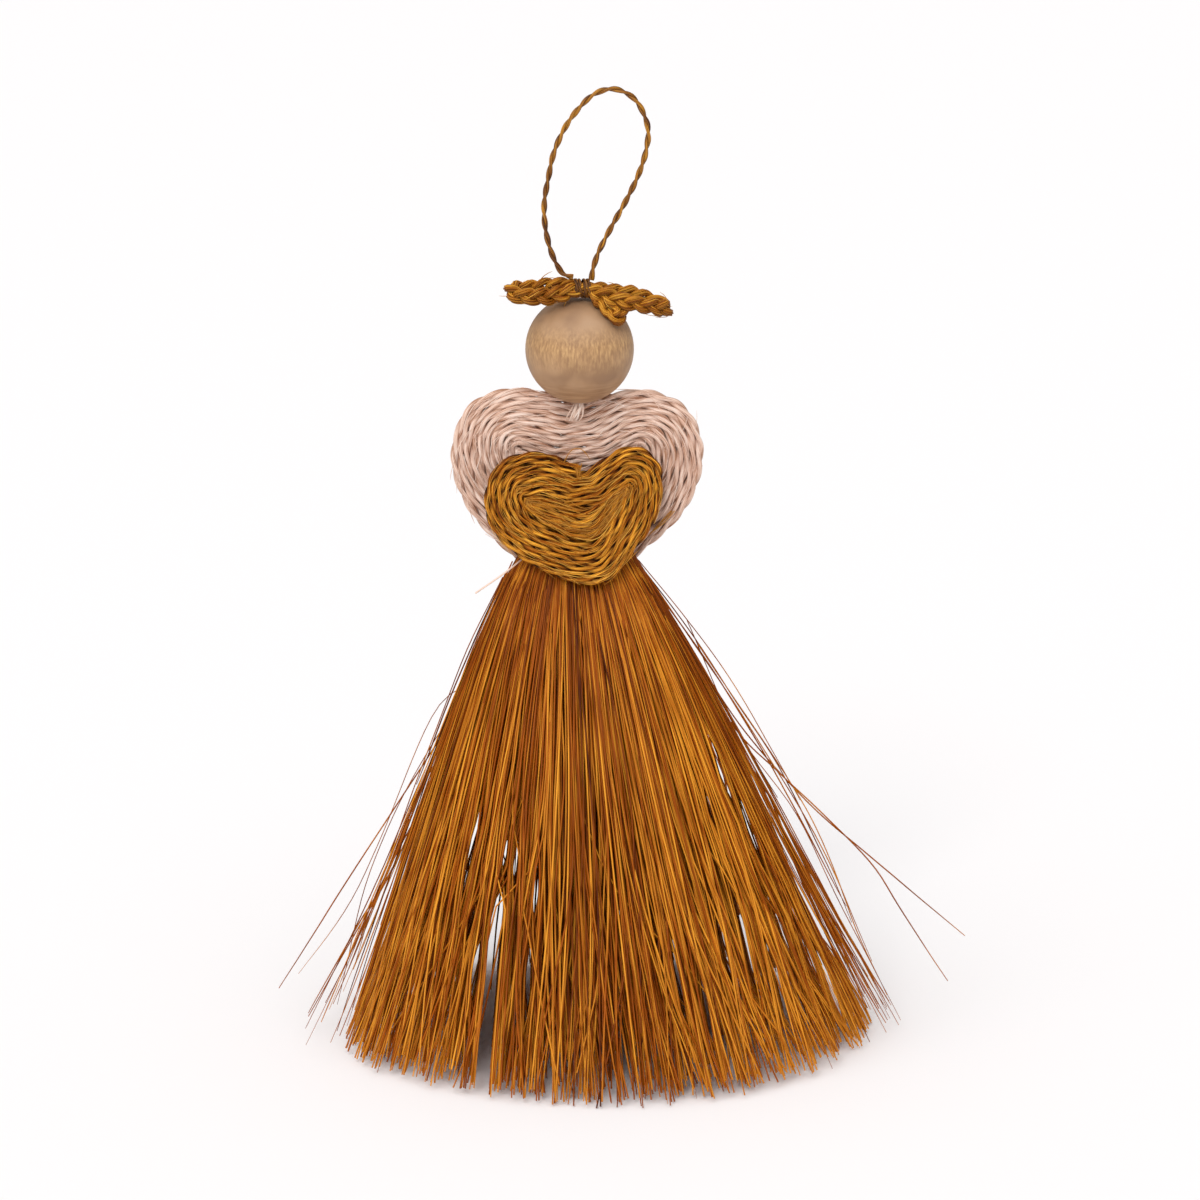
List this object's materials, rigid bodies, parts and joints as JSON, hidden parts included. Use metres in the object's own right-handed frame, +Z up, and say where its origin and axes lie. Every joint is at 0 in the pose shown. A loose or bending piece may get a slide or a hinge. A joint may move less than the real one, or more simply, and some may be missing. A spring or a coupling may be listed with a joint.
{
  "type": "fibre angel ornament",
  "caption": "Standing angel ornament: a flared skirt of loose plant fibre, coiled twine hearts for wings and body, a wooden bead head, a plaited bow and a twisted hanging loop.",
  "frame": {"origin": "middle of the hem, on the surface that the cut ends stand on", "axes": "+Z up along the ornament's height, the angel faces -Y, +X is to the viewer's right"},
  "size_m": [0.1297, 0.096, 0.1788],
  "materials": {
    "golden_fibre": "loose dyed plant fibre with a silky sheen",
    "golden_twine": "twisted and plaited dyed plant fibre",
    "dark_thread": "dull brown thread",
    "pale_twine": "twisted plant fibre, pale pink, matte",
    "bead_wood": "turned wood, unvarnished, satin"
  },
  "bodies": {
    "root": {"skirt": "golden_fibre", "stray_fibre_right_high": "golden_fibre", "stray_fibre_right_low": "golden_fibre", "stray_fibre_left_high": "golden_fibre", "stray_fibre_left_low": "golden_fibre", "wing_heart": "pale_twine", "body_heart": "golden_twine", "head_bead": "bead_wood", "neck_tie": "pale_twine", "bow": "golden_twine", "bow_binding": "dark_thread", "hanging_cord": "golden_twine"}
  },
  "joints": []
}
